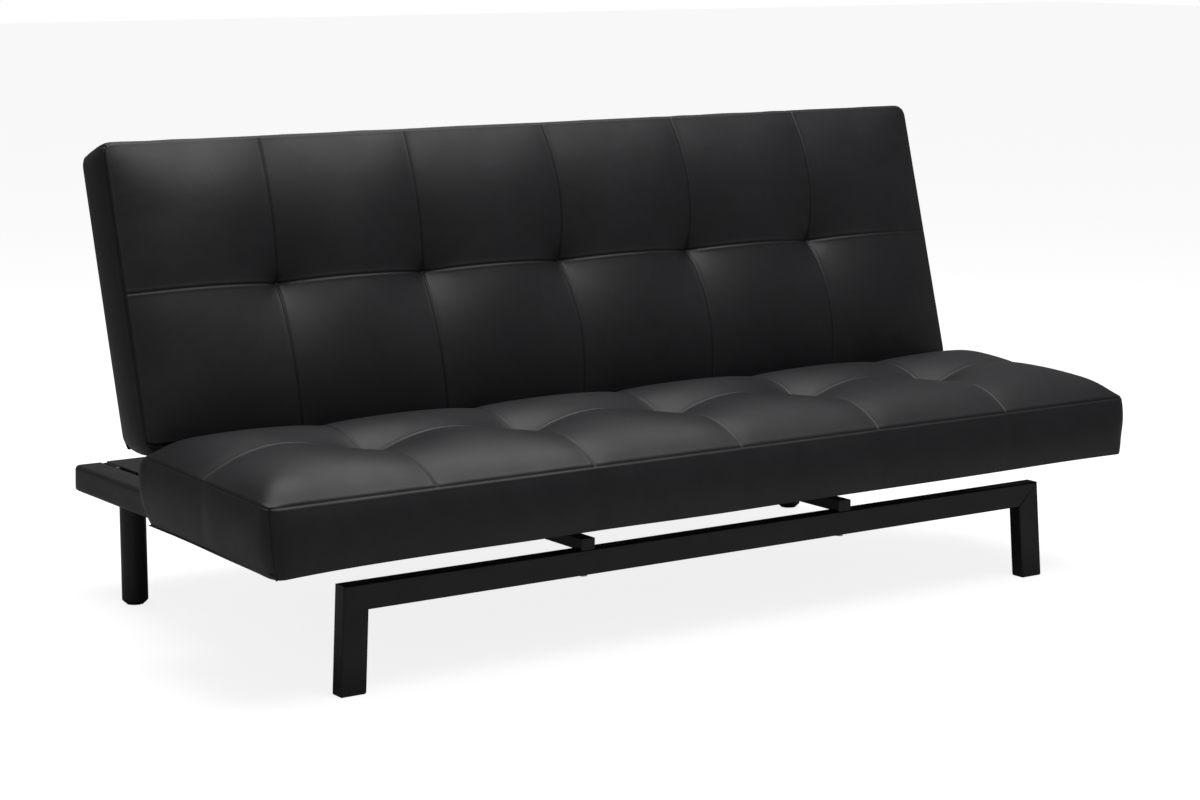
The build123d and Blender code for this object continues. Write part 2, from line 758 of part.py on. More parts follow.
def save_springs(name, plane, inner_h, height, width):
    # one no-sag spring under the middle of each panel
    with BuildPart() as springs:
        for k in range(panels):
            x = (k + 0.5 - panels / 2) * width / panels
            end = (inner_h - timber) / 2
            corners = zigzag(x, -end, end, spring_reach, spring_step)
            with BuildLine(plane.offset(height + spring_wire / 2)) as wire:
                FilletPolyline(*corners, radius=spring_bend)
            with BuildSketch(Plane(origin=wire.line @ 0, z_dir=wire.line % 0)):
                Circle(spring_wire / 2)
            sweep(path=wire.line)
    save(springs.part, name + "_springs")


def save_cloth(name, plane, inner_w, inner_h):
    with BuildPart() as bottom:
        with BuildSketch(plane):
            Rectangle(inner_w - 2, inner_h - 2)
        extrude(amount=cloth)
    save(bottom.part, name + "_cloth")


seat_slots = seat_slot(-1) + seat_slot(1)
back_slots = back_slot(-1) + back_slot(1)

seat_ribs, seat_in_w, seat_in_h, seat_timber_top = save_cushion(
    "seat", seat_plane, seat_width, seat_depth, seat_band + seat_crown, seat_pocket,
    seat_timber_height, seat_rib_x, seat_slots, (("front", -1), ("rear", 1)),
)
back_ribs, back_in_w, back_in_h, back_timber_top = save_cushion(
    "back", back_rear_plane, back_width, back_height, back_band + back_crown, back_pocket,
    back_timber_height, back_rib_x, back_slots, (("top", 1), ("bottom", -1)),
)
save_springs("seat", seat_plane, seat_in_h, seat_timber_top, seat_width)
save_springs("back", back_rear_plane, back_in_h, back_timber_top, back_width)
save_cloth("seat", seat_plane, seat_in_w, seat_in_h)
save_cloth("back", back_rear_plane, back_in_w, back_in_h)

# bolts run from each arm through its rib; the ribs are drilled for them
for name, ribs, arm_x, rows in (
    ("seat", seat_ribs, seat_arm_x, seat_bolt_rows),
    ("back", back_ribs, back_arm_x, back_bolt_rows),
):
    with BuildPart() as bolts:
        for _, side in sides:
            for y, z in rows:
                head = Plane(
                    origin=(side * (arm_x + plate), y, z), x_dir=(0, 1, 0), z_dir=(-side, 0, 0)
                )
                length = plate + timber + bolt_head_height
                add(hexagon_bolt(head, bolt_head_height, length, bolt_radius, bolt_head))
    save(bolts.part, name + "_arm_bolts")
    with BuildPart() as drilled:
        add(ribs.part)
        for _, side in sides:
            with BuildSketch(side_plane(side, arm_x - timber - 1, timber + 2)):
                with Locations(*rows):
                    Circle(bolt_radius + hole_clearance)
            extrude(amount=timber + 2, mode=Mode.SUBTRACT)
    save(drilled.part, name + "_ribs")
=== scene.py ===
import bpy, json, math
import numpy as np
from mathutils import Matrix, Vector, noise


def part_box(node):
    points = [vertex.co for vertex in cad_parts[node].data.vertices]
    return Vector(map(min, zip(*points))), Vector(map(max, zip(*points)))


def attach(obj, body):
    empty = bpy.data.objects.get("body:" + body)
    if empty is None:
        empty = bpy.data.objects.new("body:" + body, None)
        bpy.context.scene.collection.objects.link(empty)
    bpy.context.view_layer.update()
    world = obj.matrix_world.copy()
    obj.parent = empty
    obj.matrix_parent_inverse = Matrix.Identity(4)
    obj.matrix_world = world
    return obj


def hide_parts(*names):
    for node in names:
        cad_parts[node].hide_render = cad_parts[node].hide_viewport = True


# Click-clack sofa bed in black leathercloth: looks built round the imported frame. Metres, +Z up.
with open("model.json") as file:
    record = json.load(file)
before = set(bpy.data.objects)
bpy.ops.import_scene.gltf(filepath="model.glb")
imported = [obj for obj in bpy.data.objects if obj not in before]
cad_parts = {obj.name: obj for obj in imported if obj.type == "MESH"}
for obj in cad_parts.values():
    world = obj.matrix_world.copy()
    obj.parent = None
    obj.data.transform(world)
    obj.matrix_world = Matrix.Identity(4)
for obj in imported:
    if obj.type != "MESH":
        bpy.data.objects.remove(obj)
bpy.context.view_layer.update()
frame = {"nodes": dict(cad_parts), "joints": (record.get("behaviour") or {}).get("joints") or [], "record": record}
nodes = frame["nodes"]
joints = {j["name"]: j for j in frame["joints"]}
print("frame loaded:", len(nodes), "nodes")

millimetre = 0.001


def toLinear(hexColour):
    # sRGB hex to the linear values that shaders use
    out = []
    for k in (0, 2, 4):
        c = int(hexColour[k:k + 2], 16) / 255
        out.append(c / 12.92 if c <= 0.04045 else ((c + 0.055) / 1.055) ** 2.4)
    return (*out, 1.0)


def addNode(tree, kind, settings=None, links=None):
    # one node: settings are properties or input values, links join inputs to other nodes' outputs
    node = tree.nodes.new(kind)
    for key, value in (settings or {}).items():
        if isinstance(key, int) or key in node.inputs.keys():
            node.inputs[key].default_value = value
        else:
            setattr(node, key, value)
    for key, source in (links or {}).items():
        tree.links.new(source, node.inputs[key])
    return node


def patternScale(size):
    # a texture's scale from the real size of its pattern, in millimetres
    return 1 / (size * millimetre)


def newMaterial(name, colour, roughness, **sockets):
    # further keywords are the shader's sockets, with _ for a space
    material = bpy.data.materials.new(name)
    material.use_nodes = True
    tree = material.node_tree
    shader = tree.nodes["Principled BSDF"]
    shader.inputs["Base Color"].default_value = toLinear(colour)
    shader.inputs["Roughness"].default_value = roughness
    for key, value in sockets.items():
        shader.inputs[key.replace("_", " ")].default_value = value
    return material, tree, shader


def ramp(tree, source, stops):
    # colour ramp with (position, value) stops, grey or hex
    node = addNode(tree, "ShaderNodeValToRGB", links={"Fac": source})
    while len(node.color_ramp.elements) < len(stops):
        node.color_ramp.elements.new(0.5)
    for element, (place, value) in zip(node.color_ramp.elements, stops):
        element.position = place
        element.color = toLinear(value) if isinstance(value, str) else (value, value, value, 1)
    return node.outputs["Color"]


leather = {
    "colour": "1c1a1e",       # pigment under the clear top coat
    "wornColour": "232125",   # a shade lighter where the hide-like print is raised
    "seamShadeColour": "0b0a0b",   # painted shade: the dark line of shadow where two panels turn under at a seam
    "roughness": 0.47,
    "grainSize": 1.4,         # mm, drawn coarser than the real 0.6 mm print so that it shows
    "grainDepth": 0.05,       # mm
    "creaseSize": 45,         # mm between soft creases
    "creaseDepth": 0.9,       # mm
    "sheenSize": 200,         # mm across the broad patches where the sheen shifts
}


def leathercloth(name="polyurethaneLeathercloth", seams=True):
    # polyurethane-coated leathercloth, embossed: a semi-matte black sheen broken up by a fine pebble print
    material, tree, shader = newMaterial(name, leather["colour"], leather["roughness"])
    place = addNode(tree, "ShaderNodeTexCoord").outputs["Object"]
    grain = addNode(tree, "ShaderNodeTexVoronoi",
                    {"Scale": patternScale(leather["grainSize"]), "feature": "SMOOTH_F1", "Smoothness": 0.6},
                    {"Vector": place})
    creases = addNode(tree, "ShaderNodeTexNoise",
                      {"Scale": patternScale(leather["creaseSize"]), "Detail": 5.0, "Roughness": 0.55,
                       "Distortion": 0.8}, {"Vector": place})
    broad = addNode(tree, "ShaderNodeTexNoise", {"Scale": patternScale(leather["sheenSize"]), "Detail": 3.0},
                    {"Vector": place})
    tint = ramp(tree, creases.outputs["Fac"], [(0.3, leather["colour"]), (0.75, leather["wornColour"])])
    colour = tint
    # painted shade: each seam line is darkened to stand in for the shadow in its groove
    if seams:
        seam = addNode(tree, "ShaderNodeAttribute", {"attribute_name": "seam"}).outputs["Fac"]
        line = ramp(tree, seam, [(0.0, 1.0), (0.14, 1.0), (0.3, 0.0)])
        # the Mix node's colour sockets: 6 and 7 in, 2 out
        seamShadeMix = addNode(tree, "ShaderNodeMix", {"data_type": "RGBA", 7: toLinear(leather["seamShadeColour"])},
                      {"Factor": line, 6: tint})
        colour = seamShadeMix.outputs[2]
    tree.links.new(colour, shader.inputs["Base Color"])
    sheen = ramp(tree, broad.outputs["Fac"],
                 [(0.3, leather["roughness"] - 0.05), (0.7, leather["roughness"] + 0.08)])
    tree.links.new(sheen, shader.inputs["Roughness"])
    bumpA = addNode(tree, "ShaderNodeBump", {"Distance": leather["creaseDepth"] * millimetre, "Strength": 0.5},
                    {"Height": creases.outputs["Fac"]})
    bumpB = addNode(tree, "ShaderNodeBump", {"Distance": leather["grainDepth"] * millimetre, "Strength": 0.8},
                    {"Height": grain.outputs["Distance"], "Normal": bumpA.outputs["Normal"]})
    tree.links.new(bumpB.outputs["Normal"], shader.inputs["Normal"])
    return material


def powderCoat():
    # polyester powder-coated steel, baked: deep black with a faint orange peel
    material, tree, shader = newMaterial("powderCoatedSteel", "19191b", 0.4)
    place = addNode(tree, "ShaderNodeTexCoord").outputs["Object"]
    peel = addNode(tree, "ShaderNodeTexNoise", {"Scale": patternScale(2.2), "Detail": 2.0}, {"Vector": place})
    # handling haze in patches about 70 mm across
    haze = addNode(tree, "ShaderNodeTexNoise", {"Scale": 14.0, "Detail": 4.0}, {"Vector": place})
    tree.links.new(ramp(tree, haze.outputs["Fac"], [(0.3, 0.36), (0.7, 0.47)]), shader.inputs["Roughness"])
    bump = addNode(tree, "ShaderNodeBump", {"Distance": 0.00006, "Strength": 0.6}, {"Height": peel.outputs["Fac"]})
    tree.links.new(bump.outputs["Normal"], shader.inputs["Normal"])
    return material


def zincPlate(name, colour, roughness):
    # cold-rolled steel, zinc plated: a soft, slightly uneven metallic haze
    material, tree, shader = newMaterial(name, colour, roughness, Metallic=1.0)
    place = addNode(tree, "ShaderNodeTexCoord").outputs["Object"]
    # plating haze about 11 mm across, with finer detail in it
    haze = addNode(tree, "ShaderNodeTexNoise", {"Scale": 90.0, "Detail": 6.0}, {"Vector": place})
    tree.links.new(ramp(tree, haze.outputs["Fac"], [(0.3, roughness - 0.08), (0.7, roughness + 0.12)]),
                   shader.inputs["Roughness"])
    bump = addNode(tree, "ShaderNodeBump", {"Distance": 0.00003, "Strength": 0.5}, {"Height": haze.outputs["Fac"]})
    tree.links.new(bump.outputs["Normal"], shader.inputs["Normal"])
    return material


def polypropylene(name, colour, roughness):
    # moulded polypropylene with a spark-eroded texture: an even, slightly waxy black
    material, tree, shader = newMaterial(name, colour, roughness)
    place = addNode(tree, "ShaderNodeTexCoord").outputs["Object"]
    # 1.2 mm grit, drawn coarser than a real spark texture so that it shows; haze about 45 mm across
    grit = addNode(tree, "ShaderNodeTexNoise", {"Scale": patternScale(1.2), "Detail": 3.0}, {"Vector": place})
    haze = addNode(tree, "ShaderNodeTexNoise", {"Scale": 22.0, "Detail": 3.0}, {"Vector": place})
    tree.links.new(ramp(tree, haze.outputs["Fac"], [(0.3, roughness - 0.05), (0.7, roughness + 0.06)]),
                   shader.inputs["Roughness"])
    bump = addNode(tree, "ShaderNodeBump", {"Distance": 0.00008, "Strength": 0.5}, {"Height": grit.outputs["Fac"]})
    tree.links.new(bump.outputs["Normal"], shader.inputs["Normal"])
    return material


def feltCloth():
    # needle-punched polyester felt: flat black that swallows light, with loose fibres
    material, tree, shader = newMaterial("needlePunchedFelt", "161517", 0.95, Sheen_Weight=0.25)
    place = addNode(tree, "ShaderNodeTexCoord").outputs["Object"]
    # 1.6 mm tangles: single fibres are too fine to show
    fibre = addNode(tree, "ShaderNodeTexNoise", {"Scale": patternScale(1.6), "Detail": 6.0, "Distortion": 2.0},
                    {"Vector": place})
    tree.links.new(ramp(tree, fibre.outputs["Fac"], [(0.35, "100f11"), (0.7, "222123")]),
                   shader.inputs["Base Color"])
    bump = addNode(tree, "ShaderNodeBump", {"Distance": 0.0004, "Strength": 0.7}, {"Height": fibre.outputs["Fac"]})
    tree.links.new(bump.outputs["Normal"], shader.inputs["Normal"])
    return material


def planedPine():
    # planed pine, unfinished: growth rings stretched along X, as the long rails run, and a dry matt surface
    material, tree, shader = newMaterial("planedPine", "c79f6b", 0.65)
    place = addNode(tree, "ShaderNodeTexCoord").outputs["Object"]
    stretch = addNode(tree, "ShaderNodeMapping", {"Scale": (1.0, 8.0, 8.0)}, {"Vector": place})
    # rings about 4 mm apart in height, their waves eight times as long along X
    rings = addNode(tree, "ShaderNodeTexWave",
                    {"Scale": 9.0, "Distortion": 6.0, "Detail": 3.0, "Detail Scale": 1.5, "bands_direction": "Z"},
                    {"Vector": stretch.outputs["Vector"]})
    tree.links.new(ramp(tree, rings.outputs["Fac"], [(0.1, "a97f4e"), (0.6, "d3ae7c")]),
                   shader.inputs["Base Color"])
    bump = addNode(tree, "ShaderNodeBump", {"Distance": 0.0002, "Strength": 0.4}, {"Height": rings.outputs["Fac"]})
    tree.links.new(bump.outputs["Normal"], shader.inputs["Normal"])
    return material


def rubberStop():
    # moulded nitrile rubber: dull black with a dusty bloom
    material, tree, shader = newMaterial("mouldedRubber", "1b1b1b", 0.8)
    place = addNode(tree, "ShaderNodeTexCoord").outputs["Object"]
    # dust in patches about 17 mm across
    bloom = addNode(tree, "ShaderNodeTexNoise", {"Scale": 60.0, "Detail": 5.0}, {"Vector": place})
    tree.links.new(ramp(tree, bloom.outputs["Fac"], [(0.35, "171717"), (0.7, "242424")]),
                   shader.inputs["Base Color"])
    return material


def cutFoam():
    # slabstock polyurethane foam: pale and open-celled
    material, tree, shader = newMaterial("slabstockFoam", "d9cfae", 0.9)
    place = addNode(tree, "ShaderNodeTexCoord").outputs["Object"]
    # 1.8 mm cells, coarser than the real 1 mm so that they show
    cells = addNode(tree, "ShaderNodeTexVoronoi", {"Scale": patternScale(1.8)}, {"Vector": place})
    bump = addNode(tree, "ShaderNodeBump", {"Distance": 0.0005, "Strength": 0.8},
                   {"Height": cells.outputs["Distance"]})
    tree.links.new(bump.outputs["Normal"], shader.inputs["Normal"])
    return material


coverLeather = leathercloth()
# the stapled wraps get no painted seam shade
wrapLeather = leathercloth("stapledLeathercloth", seams=False)
slotMaterials = {
    "leathercloth": wrapLeather,
    "foam": cutFoam(),
    "timber": planedPine(),
    "frame_steel": powderCoat(),
    "fitting_steel": zincPlate("blackZincPressing", "3a3a3e", 0.45),
    "bright_steel": zincPlate("zincPlatedSteel", "b9bbc0", 0.35),
    "black_plastic": polypropylene("mouldedPolypropylene", "1a191b", 0.42),
    "rubber": rubberStop(),
    "black_felt": feltCloth(),
}
for part in frame["record"]["subparts"]:
    piece = nodes[part["node"]]
    piece.data.materials.clear()
    piece.data.materials.append(slotMaterials[part["material_slot"]])
print("materials made:", len(bpy.data.materials))


# what both cushions share, in metres
sewing = {
    "finest": 0.003, "coarsest": 0.016,      # grid steps beside a seam and in mid-panel
    "padGrowth": 1.35, "bandGrowth": 1.5,    # each step over the one before it
    "riseCurve": 2.6,                        # how sharply the pad rises off its edge
    "tuftSquash": 1.15, "tuftCurve": 1.15,   # a tuft's dent: narrower front to back, and its profile
    "tuftHeld": 0.005,                       # held round each tuft
    "foldStart": 0.012,                      # folds fade out inside this radius
    "foldEnd": 3.5,                          # and stop at this many fold reaches
    "bowReach": 0.05,                        # leather drawn sideways beside a panel seam
    "cornerTurn": 0.02,                      # the band turns over this distance at a corner
    "cornerSteps": (0.0, 0.003, 0.008, 0.02),  # distance from the corner seam, per grid column
    "farFromSeam": 0.05,
    "seamReach": 0.006,                      # leather nearer to a seam than this is marked by it
    "grooveWidth": 0.0016, "lipPlace": 0.0036,
}


def gradedSteps(length, growth):
    # distances from a seam to the next one, fine at both seams and coarser between them
    places = [0.0]
    step = sewing["finest"]
    while places[-1] + step < length / 2 - step * 0.5:
        places.append(places[-1] + step)
        step = min(step * growth, sewing["coarsest"])
    half = places + [length / 2]
    return half + [length - p for p in reversed(half[:-1])]


def gradedLine(total, panelCount):
    # grid places across several panels, centred on zero
    panel = total / panelCount
    line = []
    for k in range(panelCount):
        steps = [k * panel + p for p in gradedSteps(panel, sewing["padGrowth"])]
        line += steps if k == 0 else steps[1:]
    return np.array(line) - total / 2


def roundCorner(u, v, halfU, halfV, radius):
    # draws the grid's square corners in to an arc
    cu, cv = halfU - radius, halfV - radius
    if abs(u) <= cu or abs(v) <= cv:
        return u, v
    a, b = (abs(u) - cu) / radius, (abs(v) - cv) / radius
    ra, rb = a * math.sqrt(1 - b * b / 2), b * math.sqrt(1 - a * a / 2)
    return math.copysign(cu + ra * radius, u), math.copysign(cv + rb * radius, v)


def fadeIn(x, start, steepness):
    # 0 up to start, then straight up to 1
    return min(max((x - start) * steepness, 0), 1)


def smoothRise(x):
    # steep off the edge, level at 1
    return 1 - (1 - min(max(x, 0.0), 1.0)) ** sewing["riseCurve"]


def padHeight(u, v, c):
    # how far the pad stands above its top seam
    edge = smoothRise((c["halfU"] - abs(u)) / c["shoulder"]) * smoothRise((c["halfV"] - abs(v)) / c["shoulder"])
    panel = 2 * c["halfU"] / c["panels"]
    height = c["crown"] * edge
    height += c["rearRise"] * v / c["halfV"]
    for k in range(1, c["panels"]):
        du = abs(u - (k * panel - c["halfU"]))
        height -= c["valley"] * edge * math.exp(-du / c["valleyWidth"])
        r = math.hypot(du, v * sewing["tuftSquash"])
        height -= c["tuft"] * math.exp(-(r / c["tuftWidth"]) ** sewing["tuftCurve"])
    height -= c["midValley"] * edge * math.exp(-abs(v) / c["valleyWidth"])
    return height


def tuftFolds(u, v, c, seed):
    # small folds that run out from each tuft
    panel = 2 * c["halfU"] / c["panels"]
    total = 0.0
    for k in range(1, c["panels"]):
        du, dv = u - (k * panel - c["halfU"]), v
        r = math.hypot(du, dv)
        if r < sewing["foldEnd"] * c["foldReach"]:
            angle = math.atan2(dv, du)
            # an uneven star, turned differently at each tuft
            wave = math.cos(c["foldCount"] * angle + 1.7 * math.sin(2 * angle + seed + k) + seed * 3 + k * 2.1)
            total += c["fold"] * wave * math.exp(-r / c["foldReach"]) * min(r / sewing["foldStart"], 1.0)
    return total


def makeCushion(name, c, toWorld):
    # closed boxed cushion: crowned pad, band with corner seams, flat bottom, in its own u, v, w space
    lineU = gradedLine(2 * c["halfU"], c["panels"])
    lineV = gradedLine(2 * c["halfV"], 2)
    nu, nv = len(lineU), len(lineV)
    verts, seamAt, pinAt = [], [], []
    panel = 2 * c["halfU"] / c["panels"]

    def seamDistance(u, v):
        toPanel = min(abs(u - (k * panel - c["halfU"])) for k in range(1, c["panels"]))
        return min(toPanel, abs(v), c["halfU"] - abs(u), c["halfV"] - abs(v))

    topIndex = {}
    for j, v in enumerate(lineV):
        for i, u in enumerate(lineU):
            ru, rv = roundCorner(u, v, c["halfU"], c["halfV"], c["corner"])
            nearest = round((u + c["halfU"]) / panel) * panel - c["halfU"]
            inner = abs(nearest) < c["halfU"] - 0.01  # the outermost seams stay straight
            pull = math.exp(-abs(u - nearest) / sewing["bowReach"]) * inner
            bow = c["bow"] * math.sin(math.pi * min(abs(v) / c["halfV"], 1.0)) * pull
            outward = 1 if nearest >= 0 else -1
            w = c["band"] + padHeight(u, v, c) + tuftFolds(u, v, c, c["seed"])
            topIndex[i, j] = len(verts)
            verts.append((ru + bow * outward, rv, w))
            seamAt.append(seamDistance(u, v))
            toTuft = min(math.hypot(u - (k * panel - c["halfU"]), v) for k in range(1, c["panels"]))
            onEdge = i in (0, nu - 1) or j in (0, nv - 1)
            pinAt.append(1.0 if onEdge or toTuft < sewing["tuftHeld"] else 0.0)
    faces = []
    for j in range(nv - 1):
        for i in range(nu - 1):
            faces.append((topIndex[i, j], topIndex[i + 1, j], topIndex[i + 1, j + 1], topIndex[i, j + 1]))
    rim = [(i, 0) for i in range(nu)] + [(nu - 1, j) for j in range(1, nv)]
    rim += [(i, nv - 1) for i in range(nu - 2, -1, -1)] + [(0, j) for j in range(nv - 2, 0, -1)]
    rows = [p / c["band"] for p in gradedSteps(c["band"], sewing["bandGrowth"])][1:]
    previous = [topIndex[key] for key in rim]
    corners = {(0, 0), (nu - 1, 0), (nu - 1, nv - 1), (0, nv - 1)}
    cornerAt = [k for k, key in enumerate(rim) if key in corners]
    turn = sewing["cornerTurn"]
    # the band, ring by ring: drop goes from 0 at the top seam to 1 at its lower edge
    for drop in rows:
        ring = []
        for k, (i, j) in enumerate(rim):
            u, v = lineU[i], lineV[j]
            ru, rv = roundCorner(u, v, c["halfU"], c["halfV"], c["corner"])
            outU = max(abs(u) - c["halfU"] + turn, 0) / turn * math.copysign(1, u)
            outV = max(abs(v) - c["halfV"] + turn, 0) / turn * math.copysign(1, v)
            size = math.hypot(outU, outV)
            outU, outV = outU / size, outV / size
            swell = (c["swell"] + c["rearSwell"](ru, rv)) * math.sin(math.pi * drop ** 0.8) ** 0.7
            # wrinkles about 60 mm apart, with weaker ones of 24 mm between them
            wrinkle = noise.noise(Vector((ru * 17 + c["seed"], rv * 17, drop * 1.6))) * c["wrinkle"]
            wrinkle += noise.noise(Vector((ru * 42, rv * 42 + c["seed"], drop * 3))) * c["wrinkle"] * 0.45
            out = swell + wrinkle * math.sin(math.pi * drop) ** 0.5
            slack = c["droop"] * noise.noise(Vector((ru * 3.1, rv * 3.1, 7.7 + c["seed"]))) - c["hem"](ru, rv)
            w = (c["band"] + c["rearRise"] * v / c["halfV"]) * (1 - drop) + slack * drop
            lean = c["lean"](ru, rv, drop)
            ring.append(len(verts))
            verts.append((ru + outU * out + lean[0], rv + outV * out + lean[1], w))
            toCorner = min(min(abs(k - q), len(rim) - abs(k - q)) for q in cornerAt)
            steps = sewing["cornerSteps"]
            near = steps[toCorner] if toCorner < len(steps) else sewing["farFromSeam"]
            seamAt.append(min(near, drop * c["band"]))
            pinAt.append(1.0 if drop == rows[-1] else 0.0)
        for k in range(len(rim)):
            nxt = (k + 1) % len(rim)
            faces.append((previous[nxt], previous[k], ring[k], ring[nxt]))
        previous = ring
    # flat bottom, a little inside the band's lower edge
    bottomIndex = dict(zip(rim, previous))
    for j in range(1, nv - 1):
        for i in range(1, nu - 1):
            ru, rv = lineU[i], lineV[j]
            bottomIndex[i, j] = len(verts)
            verts.append((ru * 0.998, rv * 0.998, c["bottomRise"]))
            seamAt.append(sewing["farFromSeam"])
            pinAt.append(1.0)
    for j in range(nv - 1):
        for i in range(nu - 1):
            faces.append((bottomIndex[i, j], bottomIndex[i, j + 1],
                          bottomIndex[i + 1, j + 1], bottomIndex[i + 1, j]))
    mesh = bpy.data.meshes.new(name)
    mesh.from_pydata([toWorld(Vector(p)) for p in verts], [], faces)
    mesh.update()
    seam = mesh.attributes.new("seam", "FLOAT", "POINT")
    seam.data.foreach_set("value", np.minimum(np.array(seamAt) / sewing["seamReach"], 1.0))
    piece = bpy.data.objects.new(name, mesh)
    bpy.context.scene.collection.objects.link(piece)
    group = piece.vertex_groups.new(name="held")
    for index, weight in enumerate(pinAt):
        if weight > 0:
            group.add([index], weight, "REPLACE")
    return piece


def applyModifiers(piece):
    deps = bpy.context.evaluated_depsgraph_get()
    evaluated = piece.evaluated_get(deps)
    mesh = bpy.data.meshes.new_from_object(evaluated, preserve_all_data_layers=True, depsgraph=deps)
    old = piece.data
    piece.modifiers.clear()
    piece.data = mesh
    bpy.data.meshes.remove(old)


# cloth settings: a light, stretchy coated fabric that settles in a few frames
filling = {"quality": 5, "mass": 0.02, "stretch": 15, "shear": 5, "bending": 2, "frames": 20}


def inflate(piece, c):
    # air pressure fills the pad and band out; the edge seams, tufts and underside are held
    start = np.zeros(len(piece.data.vertices) * 3)
    piece.data.vertices.foreach_get("co", start)
    cloth = piece.modifiers.new("filling", "CLOTH")
    settings = cloth.settings
    settings.quality = filling["quality"]
    settings.mass = filling["mass"]
    settings.tension_stiffness = settings.compression_stiffness = filling["stretch"]
    settings.shear_stiffness = filling["shear"]
    settings.bending_stiffness = filling["bending"]
    settings.use_pressure = True
    settings.uniform_pressure_force = c["pressure"]
    settings.effector_weights.gravity = 0
    settings.vertex_group_mass = "held"
    settings.pin_stiffness = 1.0
    cloth.collision_settings.use_collision = False
    cloth.collision_settings.use_self_collision = False
    cloth.point_cache.frame_start = 1
    cloth.point_cache.frame_end = filling["frames"]
    for f in range(1, filling["frames"] + 1):
        bpy.context.scene.frame_set(f)
    applyModifiers(piece)
    bpy.context.scene.frame_set(1)
    end = np.zeros_like(start)
    piece.data.vertices.foreach_get("co", end)
    move = (end - start).reshape(-1, 3)
    length = np.linalg.norm(move, axis=1, keepdims=True)
    print(piece.name, "largest puff before the cap, mm:", round(float(length.max()) * 1000, 1))
    move *= np.minimum(1.0, c["cap"] / np.maximum(length, 1e-9))
    piece.data.vertices.foreach_set("co", start + move.reshape(-1))
    piece.data.update()


def finishCushion(piece, c, material):
    smooth = piece.modifiers.new("smooth", "SUBSURF")
    smooth.levels = smooth.render_levels = 1
    applyModifiers(piece)
    # sewn groove: the seam line sinks and the leather beside it rolls up
    mesh = piece.data
    count = len(mesh.vertices)
    co = np.zeros(count * 3)
    mesh.vertices.foreach_get("co", co)
    normal = np.zeros(count * 3)
    mesh.vertices.foreach_get("normal", normal)
    seam = np.zeros(count)
    mesh.attributes["seam"].data.foreach_get("value", seam)
    distance = seam * sewing["seamReach"]
    width, lipPlace = sewing["grooveWidth"], sewing["lipPlace"]
    depth = -c["groove"] * np.exp(-(distance / width) ** 2)
    depth += c["lip"] * np.exp(-((distance - lipPlace) / width) ** 2)
    co = co.reshape(-1, 3) + normal.reshape(-1, 3) * depth[:, None]
    mesh.vertices.foreach_set("co", co.reshape(-1))
    mesh.update()
    mesh.polygons.foreach_set("use_smooth", [True] * len(mesh.polygons))
    mesh.materials.clear()
    mesh.materials.append(material)


seatLow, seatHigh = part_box("seat_cover")
backLow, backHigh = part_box("back_cover")
pivot = Vector(joints["back_fold"]["pos_m"])
leanAngle = math.radians(90 - joints["back_fold"]["range_deg"][1])  # the backrest's lean, upright


def seatLean(u, v, drop):
    # the band leans in a little at the ends and out at the front towards its lower edge
    front = fadeIn(-v / seat["halfV"], 0.9, 10)
    end = fadeIn(abs(u) / seat["halfU"], 0.95, 20)
    return (-math.copysign(seat["endLean"], u) * end * drop, -seat["frontLean"] * front * drop)


def seatHem(u, v):
    # the band's lower edge hangs slack along the front and most at the front left corner
    front = fadeIn(-v / seat["halfV"], 0.85, 8)
    end = fadeIn(abs(u) / seat["halfU"], 0.97, 40) * fadeIn(-v / seat["halfV"], -0.6, 1)
    corner = math.exp(-math.hypot(u + seat["halfU"], v + seat["halfV"]) / seat["cornerReach"])
    return seat["hemSlack"] * max(front, end) + seat["cornerSlack"] * corner


def seatRearSwell(u, v):
    # beyond the brackets the rear face is free to bulge
    rear = fadeIn(v / seat["halfV"], 0.9, 10)
    return seat["rearBulge"] * rear * fadeIn(abs(u), seat["bulgeStart"], 1 / 0.05)


def backFootSwell(u, v):
    # outside the fittings the backrest's lower end sags down beside the seat
    foot = fadeIn(-v / back["halfV"], 0.93, 14)
    return back["footSag"] * foot * fadeIn(abs(u), back["sagStart"], 1 / 0.12)


def backLean(u, v, drop):
    # the backrest's lower end tapers in towards its rear
    foot = fadeIn(-v / back["halfV"], 0.8, 5)
    return (0, back["footTaper"] * foot * drop ** 1.5)


# metres: u runs across the sofa, v from front to rear of the seat and from foot to top of the back
seat = {
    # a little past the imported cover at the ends, a little inside it front and rear
    "halfU": (seatHigh.x - seatLow.x) / 2 + 0.003, "halfV": (seatHigh.y - seatLow.y) / 2 - 0.006,
    "band": 0.115, "crown": 0.034, "shoulder": 0.075, "panels": 6, "corner": 0.022, "rearRise": 0.007,
    "valley": 0.003, "midValley": 0.002, "valleyWidth": 0.022,    # dips along the panel seams
    "tuft": 0.032, "tuftWidth": 0.040, "fold": 0.0022, "foldReach": 0.032, "foldCount": 7,
    "bow": 0.004, "swell": 0.005, "wrinkle": 0.0022, "droop": 0.004, "bottomRise": 0.001,
    "lean": seatLean, "endLean": 0.010, "frontLean": 0.010,
    "hem": seatHem, "hemSlack": 0.003, "cornerSlack": 0.008, "cornerReach": 0.14,
    "rearSwell": seatRearSwell, "rearBulge": 0.017, "bulgeStart": 0.80,
    "pressure": 80, "cap": 0.024,             # filling pressure, and the farthest that it may push
    "groove": 0.0016, "lip": 0.0005, "seed": 3.0,
}
